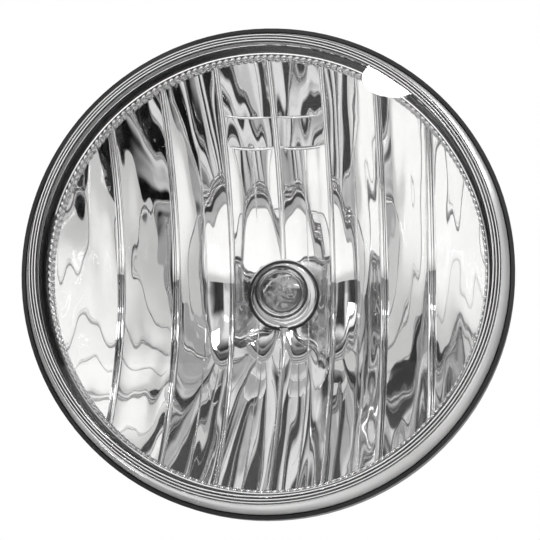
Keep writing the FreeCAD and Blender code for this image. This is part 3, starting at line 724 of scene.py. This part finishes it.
def strip_tree():
    s = Shape("mirror strip", [
        "Left", "Right", "Bottom", "Top", "Bow", "Tall Bow", "Wave", "Seed", "Columns", "Rows", "Side",
    ])
    g = s.given
    grid = s.add("GeometryNodeMeshGrid", None, {
        "Size X": 1.0, "Size Y": 1.0, "Vertices X": g["Columns"], "Vertices Y": g["Rows"],
    }, "Mesh")
    across, along, _ = s.parts(s.add("GeometryNodeInputPosition"))
    x = g["Left"] + (g["Right"] - g["Left"]) * (across + 0.5)
    mouth = (MOUTH * MOUTH - x * x).at_least(0.01).root()
    hole = (HOLE * HOLE - x * x).at_least(0.0).root()
    low = g["Bottom"].at_least(hole)
    high = g["Top"].at_most(mouth).at_least(low)
    z = low + (high - low) * (along + 0.5)
    middle = (g["Left"] + g["Right"]) * 0.5
    away = x - middle
    tall_middle = (g["Bottom"] + g["Top"]) * 0.5
    rise = z - tall_middle
    depth = (
        BOWL_VERTEX - SKIN
        - (middle * middle + z * z) / (4 * BOWL_FOCAL)
        - away * middle / (2 * BOWL_FOCAL)
        - away * away * g["Bow"]
        - rise * rise * g["Tall Bow"]
    )
    spot = s.add("ShaderNodeCombineXYZ", None, {
        "X": x * SWIRL_ACROSS, "Y": g["Seed"] * SEED_STEP, "Z": z * g["Side"] * SWIRL_ALONG,
    })
    swirl = s.add("ShaderNodeTexNoise", None, {
        "Vector": spot, "Scale": SWIRL_SCALE, "Detail": SWIRL_DETAIL,
    })
    depth = depth + (swirl - 0.5) * g["Wave"]
    moved = s.placed(grid, x * MM, depth * MM + FLANGE_Y, z * g["Side"] * MM)
    return s.finish(moved, reflector_mirror)


strips = strip_tree()
print("strip tree has", len(strips.tree.nodes), "nodes")

# %% [markdown]
# The strips are nearly equally wide, each with its own bow. Above the bulb the two middle ones are
# cut across into cells, which are bowed both ways.

# %% Running the strips
EDGES = (-51.1, -37.2, -25.2, -12.5, 0.0, 12.5, 25.2, 37.2, 51.1)
BOWS = (0.010, 0.030, 0.044, 0.046, 0.046, 0.044, 0.030, 0.010)
CELL_HEIGHTS = (33.9, 40.3)
CELL_BOW, CELL_TALL_BOW, CELL_WAVE = 0.018, 0.02, 0.7
COLUMNS_PER_MM, ROWS_PER_MM, LEAST_COLUMNS, LEAST_ROWS = 2.4, 1.6, 8, 10
SLAB = 0.4 * MM


def in_fixed_order(elements, place):
    """Orders corners or faces by place, because solidify adds the rim's in no fixed order."""
    ranks = {item: k for k, item in enumerate(sorted(elements, key=lambda item: tuple(place(item))))}
    elements.sort(key=lambda item: ranks[item])


def strip(left, right, bottom, top, bow, seed, side=1, wave=0.9, tall_bow=0.0):
    """One strip or cell, as a closed slab whose front is the mirror."""
    mesh = strips.run(
        Left=left, Right=right, Bottom=bottom, Top=top, Bow=bow, Tall_Bow=tall_bow, Wave=wave, Seed=seed,
        Columns=max(LEAST_COLUMNS, round((right - left) * COLUMNS_PER_MM)),
        Rows=max(LEAST_ROWS, round((min(top, MOUTH) - bottom) * ROWS_PER_MM)),
        Side=side,
    )
    with editing(mesh) as form:
        merge(form)
        face_out(form)
        if sum(face.normal.y * face.calc_area() for face in form.faces) > 0:
            bmesh.ops.reverse_faces(form, faces=form.faces)
        bmesh.ops.solidify(form, geom=form.faces[:], thickness=SLAB)
        in_fixed_order(form.verts, lambda vert: vert.co)
        in_fixed_order(form.faces, lambda face: face.calc_center_median())
    return mesh


slabs = []
for k, (left, right, bow) in enumerate(zip(EDGES, EDGES[1:], BOWS)):
    middle_strip = abs(left + right) < 20
    for side in (1, -1):
        top = CELL_HEIGHTS[0] if middle_strip and side > 0 else PAST_MOUTH
        slabs.append(strip(left, right, 0.0, top, bow, k, side))
    if middle_strip:
        levels = (*CELL_HEIGHTS, MOUTH)
        for bottom, top in zip(levels, levels[1:]):
            slabs.append(strip(
                left, right, bottom, top, CELL_BOW, k + bottom, wave=CELL_WAVE, tall_bow=CELL_TALL_BOW
            ))
mirror = joined(slabs)
soften(mirror, math.radians(38))
keep(mirror, "reflector_facets", reflector_mirror, "reflector", replaces=False)
print("mirror slabs", len(slabs), "faces", len(mirror.polygons))

# %% [markdown]
# **Seams.** A rounded seam follows the edge between two strips, and a finer one runs down the middle
# of each of the four middle strips. A second tree draws a line down the bowl at one X place and
# sweeps a small circle along it.

# %% Upright seams
SEAM_RADIUS, FINE_RADIUS, SEAM_SINK = 0.75, 0.26, 0.1
SEAM_SIDES, SEAM_POINTS = 10, 90


def seam_tree():
    s = Shape("seam bead", ["Place", "Half Gap", "Bow", "Bottom", "Top", "Side", "Radius"])
    g = s.given
    line = s.add("GeometryNodeMeshLine", {"mode": "END_POINTS"}, {"Count": SEAM_POINTS}, "Mesh")
    along = s.add("GeometryNodeInputIndex") / (SEAM_POINTS - 1)
    x = g["Place"]
    mouth = (MOUTH * MOUTH - x * x).at_least(0.01).root()
    hole = (HOLE * HOLE - x * x).at_least(0.0).root()
    low = g["Bottom"].at_least(hole)
    high = g["Top"].at_most(mouth)
    z = low + (high - low) * along
    half = g["Half Gap"]
    middle = x.size() - half
    depth = (
        BOWL_VERTEX - SKIN
        - (middle * middle + z * z) / (4 * BOWL_FOCAL)
        - half * middle / (2 * BOWL_FOCAL)
        - half * half * g["Bow"]
    )
    bent = s.placed(line, x * MM, (depth + SEAM_SINK) * MM + FLANGE_Y, z * g["Side"] * MM)
    curve = s.add("GeometryNodeMeshToCurve", None, {"Mesh": bent})
    return s.finish(s.swept(curve, g["Radius"] * MM, SEAM_SIDES), reflector_mirror)


seams = seam_tree()
runs = []
for k, place in enumerate(EDGES[1:-1], 1):
    inner = k if place < 0 else k - 1
    half = (EDGES[inner + 1] - EDGES[inner]) / 2
    for side in (1, -1):
        runs.append(seams.run(
            Place=place, Half_Gap=half, Bow=BOWS[inner], Bottom=0.0, Top=PAST_MOUTH, Side=side,
            Radius=SEAM_RADIUS,
        ))
for left, right in list(zip(EDGES, EDGES[1:]))[2:6]:
    for side, top in ((1, CELL_HEIGHTS[0]), (-1, PAST_MOUTH)):
        runs.append(seams.run(
            Place=(left + right) / 2, Half_Gap=0.0, Bow=0.0, Bottom=0.0, Top=top, Side=side,
            Radius=FINE_RADIUS,
        ))
print("upright seams", len(runs))

# %% [markdown]
# **Ledges.** The cells above the bulb are parted by short ledges. A third tree sweeps the same small
# circle along a line across one strip, which follows the cell's own bow. Seams and ledges become
# one mesh, because they are one moulding with the mirror.

# %% Ledges between the cells
LEDGE_RADIUS, LEDGE_INSET, LEDGE_RISE, LEDGE_CURVE, LEDGE_POINTS = 0.5, 0.4, 0.15, 0.012, 40


def ledge_tree():
    s = Shape("ledge", ["Left", "Right", "Height", "Radius"])
    g = s.given
    line = s.add("GeometryNodeMeshLine", {"mode": "END_POINTS"}, {"Count": LEDGE_POINTS}, "Mesh")
    x = g["Left"] + (g["Right"] - g["Left"]) * (s.add("GeometryNodeInputIndex") / (LEDGE_POINTS - 1))
    middle = (g["Left"] + g["Right"]) * 0.5
    away = x - middle
    depth = (
        BOWL_VERTEX - SKIN
        - (middle * middle + g["Height"] * g["Height"]) / (4 * BOWL_FOCAL)
        - away * middle / (2 * BOWL_FOCAL)
        - away * away * CELL_BOW
    )
    height = g["Height"] + away * away * LEDGE_CURVE
    bent = s.placed(line, x * MM, (depth - LEDGE_RISE) * MM + FLANGE_Y, height * MM)
    curve = s.add("GeometryNodeMeshToCurve", None, {"Mesh": bent})
    return s.finish(s.swept(curve, g["Radius"] * MM, SEAM_SIDES), reflector_mirror)


ledges = ledge_tree()
for left, right in ((EDGES[3], EDGES[4]), (EDGES[4], EDGES[5])):
    for height in CELL_HEIGHTS:
        runs.append(ledges.run(
            Left=left + LEDGE_INSET, Right=right - LEDGE_INSET, Height=height, Radius=LEDGE_RADIUS
        ))
seam_mesh = joined(runs, merged=True)
soften(seam_mesh, math.radians(60))
keep(seam_mesh, "reflector_seams", reflector_mirror, "reflector", replaces=False)
print("seams and ledges", len(runs), "faces", len(seam_mesh.polygons))

# %% [markdown]
# **Beads.** Small beads are set close together in three rings round the wall at the bowl's mouth,
# and they lean one way and the other in turn. A fourth tree puts one bead on each point of a ring,
# so the bead itself can stay very simple: it is repeated hundreds of times.

# %% Beaded rings
BEAD_COUNT, BEAD_RADIUS, BEAD_SIZE, BEAD_LEAN = 210, 50.95, 1.0, 0.65
RINGS, FIRST_RING, RING_PITCH = 3, 1.7, 2.1
BEAD_SHAPE = (0.55, 1.35, 0.62)     # outwards, along the lamp's axis and round the wall


def bead_tree():
    """One ring of small leaning beads round the wall at the bowl's mouth."""
    s = Shape("beaded ring", ["Count", "Radius", "Depth", "Size", "Lean"])
    g = s.given
    points = s.add("GeometryNodeMeshLine", None, {"Count": g["Count"]}, "Mesh")
    turn_by = s.add("GeometryNodeInputIndex") / g["Count"] * (2 * math.pi)
    spread = s.placed(
        points,
        s.math("COSINE", turn_by) * g["Radius"] * MM,
        g["Depth"] * MM + FLANGE_Y,
        turn_by.sine() * g["Radius"] * MM,
    )
    bead = s.add("GeometryNodeMeshIcoSphere", None, {"Radius": 1.0, "Subdivisions": 2}, "Mesh")
    sizes = {axis: g["Size"] * MM * share for axis, share in zip("XYZ", BEAD_SHAPE)}
    leaned = s.add("GeometryNodeTransform", None, {
        "Geometry": bead,
        "Scale": s.add("ShaderNodeCombineXYZ", None, sizes),
        "Rotation": s.add("ShaderNodeCombineXYZ", None, {"X": g["Lean"]}),
    })
    turned = s.add("ShaderNodeCombineXYZ", None, {"Y": turn_by * -1.0})
    set_out = s.add("GeometryNodeInstanceOnPoints", None, {
        "Points": spread, "Instance": leaned, "Rotation": turned,
    })
    return s.finish(set_out, bead_mirror)


beads = bead_tree()
ring_mesh = joined([
    beads.run(
        Count=BEAD_COUNT, Radius=BEAD_RADIUS, Depth=FIRST_RING + RING_PITCH * k, Size=BEAD_SIZE,
        Lean=BEAD_LEAN * (-1) ** k,
    )
    for k in range(RINGS)
])
soften(ring_mesh, math.radians(80))
keep(ring_mesh, "reflector_beads", bead_mirror, "reflector", replaces=False)
print("bead faces", len(ring_mesh.polygons))

# %% [markdown]
# **The bulb.** Seen end on, it is a short quartz capsule with a low domed end and the small tip
# where it was sealed, standing in a bright steel collar. Glass bends light at its outer and its
# inner face, so the capsule gets both: an outer skin and, turned inside out, a hollow. Its pressed
# foot, the pinch, is a bevelled block.

# %% Bulb glass
GLASS_RADIUS, GLASS_TIP, GLASS_END, GLASS_WALL = 6.6, 37.5, 49.6, 0.9
OUTER_CORNER, INNER_CORNER, FOOT, GLASS_SEGMENTS = 1.8, 1.2, 1.4, 96
PINCH_LOW, PINCH_HIGH, PINCH_BEVEL = (-4.8, GLASS_END - 0.4, -2.2), (4.8, 54.0, 2.2), 0.6 * MM


def capsule(radius, tip, end, corner, nub):
    """The profile of a capsule with a nearly flat front, and a sealing nub on it if asked."""
    flat = radius - corner
    crown = [(flat * k / 8, tip - 0.5 * (1 - (k / 8) ** 2)) for k in range(9)]
    if nub:
        crown[:2] = [(0.0, tip - 1.35), (0.35, tip - 1.2), (0.6, tip - 0.85), (0.8, tip - 0.55)]
    side = arc((flat, tip + corner), corner, -78, 0, 6)
    back = [(radius, end - 2.2), (radius * 0.93, end - 1.1), (radius * 0.66, end - 0.3), (0.0, end)]
    return crown + side + back


outside = turn(capsule(GLASS_RADIUS, GLASS_TIP, GLASS_END, OUTER_CORNER, True), GLASS_SEGMENTS)
hollow = turn(
    capsule(GLASS_RADIUS - GLASS_WALL, GLASS_TIP + GLASS_WALL, GLASS_END - FOOT, INNER_CORNER, False),
    GLASS_SEGMENTS,
)
with editing(hollow) as form:
    bmesh.ops.reverse_faces(form, faces=form.faces)
pinch = bpy.data.meshes.new("pinch")
with editing(pinch) as form:
    bmesh.ops.create_cube(form, size=1.0)
    for vert in form.verts:
        share = [c + 0.5 for c in vert.co]
        x, depth, z = (lo + (hi - lo) * t for lo, hi, t in zip(PINCH_LOW, PINCH_HIGH, share))
        vert.co = (x * MM, y_at(depth), z * MM)
    bmesh.ops.bevel(form, geom=form.edges[:], offset=PINCH_BEVEL, segments=3, affect="EDGES")
soften(pinch)
glass = keep(joined([outside, hollow, pinch]), "bulb_envelope", quartz_clear, "bulb_glass")
soften(glass.data)
print("glass faces", len(glass.data.polygons))

# %% [markdown]
# **The coil.** It hangs between two posts inside the capsule, in line with the lamp's axis. A coil is
# a spiral that doesn't grow, so the spiral node gets the same radius at both ends, and a fine wire
# is swept along it.

# %% Coil
COIL_TURNS, COIL_RADIUS, COIL_LENGTH, COIL_MIDDLE, COIL_WIRE = 11, 0.66, 4.3, 42.2, 0.12


def coil_tree():
    s = Shape("coil", ["Turns", "Radius", "Length", "Wire", "Start"])
    g = s.given
    spiral = s.add("GeometryNodeCurveSpiral", None, {
        "Resolution": 20, "Rotations": g["Turns"], "Start Radius": g["Radius"] * MM,
        "End Radius": g["Radius"] * MM, "Height": g["Length"] * MM,
    })
    moved = s.add("GeometryNodeTransform", None, {
        "Geometry": s.swept(spiral, g["Wire"] * MM, 8),
        "Rotation": (math.radians(-90), 0.0, 0.0),
        "Translation": s.add("ShaderNodeCombineXYZ", None, {"Y": g["Start"] * MM + FLANGE_Y}),
    })
    return s.finish(moved, coil_tungsten)


coil_mesh = coil_tree().run(
    Turns=COIL_TURNS, Radius=COIL_RADIUS, Length=COIL_LENGTH, Wire=COIL_WIRE,
    Start=COIL_MIDDLE - COIL_LENGTH / 2,
)
soften(coil_mesh, math.radians(60))
keep(coil_mesh, "bulb_coil", coil_tungsten, "bulb_filament")
print("coil faces", len(coil_mesh.polygons))

# %% [markdown]
# **The aim screw's thread.** A screw's thread is a groove that climbs steadily round it. A sleeve of
# rings is drawn here with a radius that falls and rises with the angle plus the distance along, so
# the groove winds by itself. It takes the place of the plain shank, and its crests keep its radius.

# %% Thread on the aim screw
SCREW_HEIGHT, SHANK_RADIUS, SHANK_START, SHANK_END = 52.0, 2.5, 26.0, 44.0
THREAD_PITCH, THREAD_DEPTH, THREAD_OVERLAP = 2.0, 0.38, 0.2
THREAD_RINGS, THREAD_SIDES = 150, 33


def thread_tree():
    s = Shape("thread", ["Start", "End", "Radius", "Groove", "Pitch", "Height"])
    g = s.given
    grid = s.add("GeometryNodeMeshGrid", None, {
        "Size X": 1.0, "Size Y": 1.0, "Vertices X": THREAD_RINGS, "Vertices Y": THREAD_SIDES,
    }, "Mesh")
    across, along, _ = s.parts(s.add("GeometryNodeInputPosition"))
    ring = (across + 0.5) * (THREAD_RINGS - 1)
    turn_by = along + 0.5
    share = ((ring - 1.0) / (THREAD_RINGS - 3)).at_least(0.0).at_most(1.0)
    depth = g["Start"] + (g["End"] - g["Start"]) * share
    groove = s.math("PINGPONG", depth / g["Pitch"] + turn_by, 0.5) * 2.0
    capped = ring.band(0.4, 0.6) * (1.0 - ring.band(THREAD_RINGS - 1.6, THREAD_RINGS - 1.4))
    radius = (g["Radius"] - groove * g["Groove"]) * capped
    angle = turn_by * (2 * math.pi)
    wound = s.placed(
        grid,
        radius * s.math("COSINE", angle) * MM,
        depth * MM + FLANGE_Y,
        (radius * angle.sine() + g["Height"]) * MM,
    )
    return s.finish(wound, zinc_plate)


thread_mesh = thread_tree().run(
    Start=SHANK_START, End=SHANK_END + THREAD_OVERLAP, Radius=SHANK_RADIUS, Groove=THREAD_DEPTH,
    Pitch=THREAD_PITCH, Height=SCREW_HEIGHT,
)
with editing(thread_mesh) as form:
    merge(form)
    face_out(form)
soften(thread_mesh, math.radians(50))
keep(thread_mesh, "adjuster_thread", zinc_plate, "adjuster_screw", replaces=False)
print("thread faces", len(thread_mesh.polygons))

# %% [markdown]
# The plain shank would hide the thread's grooves, so its faces are taken out of the screw's smooth
# copy, and the round hole that they leave under the shoulder is closed again.

# %% Plain shank taken away
AXIS_SLACK, END_SLACK = 0.02, 0.05      # the mesh's corners lie a little off the true surface


def on_shank(vert):
    from_axis = math.hypot(vert.co.x, vert.co.z - SCREW_HEIGHT * MM)
    return from_axis < (SHANK_RADIUS + AXIS_SLACK) * MM and vert.co.y < y_at(SHANK_END + END_SLACK)


with editing(surfaces["adjuster_screw"].data) as form:
    shank = [face for face in form.faces if all(on_shank(vert) for vert in face.verts)]
    taken = len(shank)
    bmesh.ops.delete(form, geom=shank, context="FACES")
    bmesh.ops.holes_fill(form, edges=[edge for edge in form.edges if edge.is_boundary], sides=0)
print("plain shank faces taken away", taken)

# %% [markdown]
# **Room and light.** The lamp hangs over a pale floor in a white room. A mirror shows the room and
# not itself, so what makes it look like chrome is a bright room with a few dark gaps: upright ones
# on both sides of the camera, one overhead and one low down.

# %% Floor
FLOOR_HALF, FLOOR_HEIGHT = 4.0, -0.15

floor_mesh = bpy.data.meshes.new("floor")
with editing(floor_mesh) as form:
    bmesh.ops.create_grid(form, x_segments=1, y_segments=1, size=FLOOR_HALF)
    bmesh.ops.translate(form, verts=form.verts, vec=(0, 0, FLOOR_HEIGHT))
floor = bpy.data.objects.new("floor", floor_mesh)
bpy.context.scene.collection.objects.link(floor)
paper = Finish("floor_paper", {"Roughness": 0.9, "Specular IOR Level": 0.2})
paper.feed("Base Color", paper.blend(paper.noise(60.0), (0.68, 0.68, 0.67, 1), (0.72, 0.72, 0.71, 1)))
floor_mesh.materials.append(paper.material)
print("floor at height", FLOOR_HEIGHT)

# %% [markdown]
# The sky is a soft cloud pattern between grey and white, a little brighter higher up. The camera and
# diffuse rays see it plain white, so the gaps darken only what the mirrors show. A gap is given by
# the azimuth of its middle, its half width, both in degrees, and the heights of its ends, where -1
# is straight down and 1 straight up.

# %% Sky
GAPS = (
    (-25, 14, -0.3, 0.6), (29, 15, -0.55, 0.4), (-62, 16, -0.25, 0.7), (64, 14, -0.3, 0.8),
    (-100, 20, -0.5, 0.45), (105, 18, -0.2, 0.8), (4, 80, 0.72, 0.9), (0, 60, -0.9, -0.6),
)
CLOUD_LOW, CLOUD_SPAN, SKY_SLOPE, GAP_DEPTH = 0.42, 0.42, 0.08, 0.99

world = bpy.data.worlds.new("room")
world.use_nodes = True
bpy.context.scene.world = world
room = Maker(world.node_tree)
for node in list(world.node_tree.nodes):
    world.node_tree.nodes.remove(node)
toward = room.add("ShaderNodeTexCoord", output="Generated")
dx, dy, dz = room.parts(toward)
around = room.math("ARCTAN2", dx, dy * -1.0)
clouds = room.add("ShaderNodeTexNoise", None, {"Vector": toward, "Scale": 2.6, "Detail": 2.0}, "Fac")
bright = dz * SKY_SLOPE + CLOUD_LOW + clouds.band(0.40, 0.60) * CLOUD_SPAN


def gap(centre_deg, half_deg, low, high, soft=0.06):
    """1 inside a dark gap: a stretch of azimuth (0 is the camera's side) and of height."""
    off = (around - math.radians(centre_deg)).size()
    inside = 1.0 - off.band(math.radians(half_deg) - soft, math.radians(half_deg) + soft)
    return inside * dz.band(low - soft, low + soft) * (1.0 - dz.band(high - soft, high + soft))


dark = sum((gap(*g) for g in GAPS[1:]), gap(*GAPS[0])).at_most(1.0)
level = bright * (1.0 - dark * GAP_DEPTH)
seen = room.add("ShaderNodeLightPath", output="Is Camera Ray")
spread = room.add("ShaderNodeLightPath", output="Is Diffuse Ray")
level = level + (seen + spread) * (1.0 - level)
sky = room.add("ShaderNodeBackground", None, {"Strength": level, "Color": (1, 1, 1, 1)})
end = world.node_tree.nodes.new("ShaderNodeOutputWorld")
world.node_tree.links.new(sky.link, end.inputs["Surface"])
print("room gaps", len(GAPS))

# %% [markdown]
# Three soft boxes light the housing and the floor, and a small oval one is the window whose image
# sits near the lens's rim.


# %% Lights
def soft_box(name, place, aim, size, watts, shape="RECTANGLE"):
    lamp = bpy.data.lights.new(name, "AREA")
    lamp.shape, lamp.size, lamp.size_y, lamp.energy = shape, size[0], size[1], watts
    holder = bpy.data.objects.new(name, lamp)
    holder.location = place
    holder.rotation_euler = (Vector(aim) - Vector(place)).to_track_quat("-Z", "Y").to_euler()
    bpy.context.scene.collection.objects.link(holder)


centre = Vector((0, FLANGE_Y, 0))
soft_box("key", (0.55, -0.75, 0.75), centre, (0.30, 0.22), 5.0)
soft_box("fill", (-0.8, -0.5, 0.55), centre, (0.5, 0.6), 3.0)
soft_box("back", (0.5, 0.9, 0.6), centre, (0.5, 0.5), 7.0)
soft_box("window", centre + Vector((0.158, -0.895, 0.485)), centre, (0.13, 0.08), 1.1, "ELLIPSE")

# %% [markdown]
# The camera looks from a little below and to one side, through a long lens, because a lamp seen from
# far away keeps its rings nearly concentric. Its place is a direction and a distance from the lamp.

# %% Camera
AZIMUTH, ELEVATION, DISTANCE = math.radians(5.4), math.radians(-7.6), 0.6
SENSOR, LENS_LENGTH = 36.0, 172.4
AIM_OFFSET = Vector((0.86 * MM, 0.32 * MM, 0))

bpy.context.scene.view_settings.view_transform = "Standard"
sight = Vector((
    math.sin(AZIMUTH) * math.cos(ELEVATION),
    -math.cos(AZIMUTH) * math.cos(ELEVATION),
    math.sin(ELEVATION),
))
facing = (-sight).to_track_quat("-Z", "Y")
aim = centre + facing @ AIM_OFFSET
camera = bpy.data.cameras.new("camera")
camera.sensor_width, camera.lens = SENSOR, LENS_LENGTH
eye = bpy.data.objects.new("camera", camera)
eye.location = aim + sight * DISTANCE
eye.rotation_euler = facing.to_euler()
bpy.context.scene.collection.objects.link(eye)
bpy.context.scene.camera = eye
print("camera at", [round(v, 3) for v in eye.location])
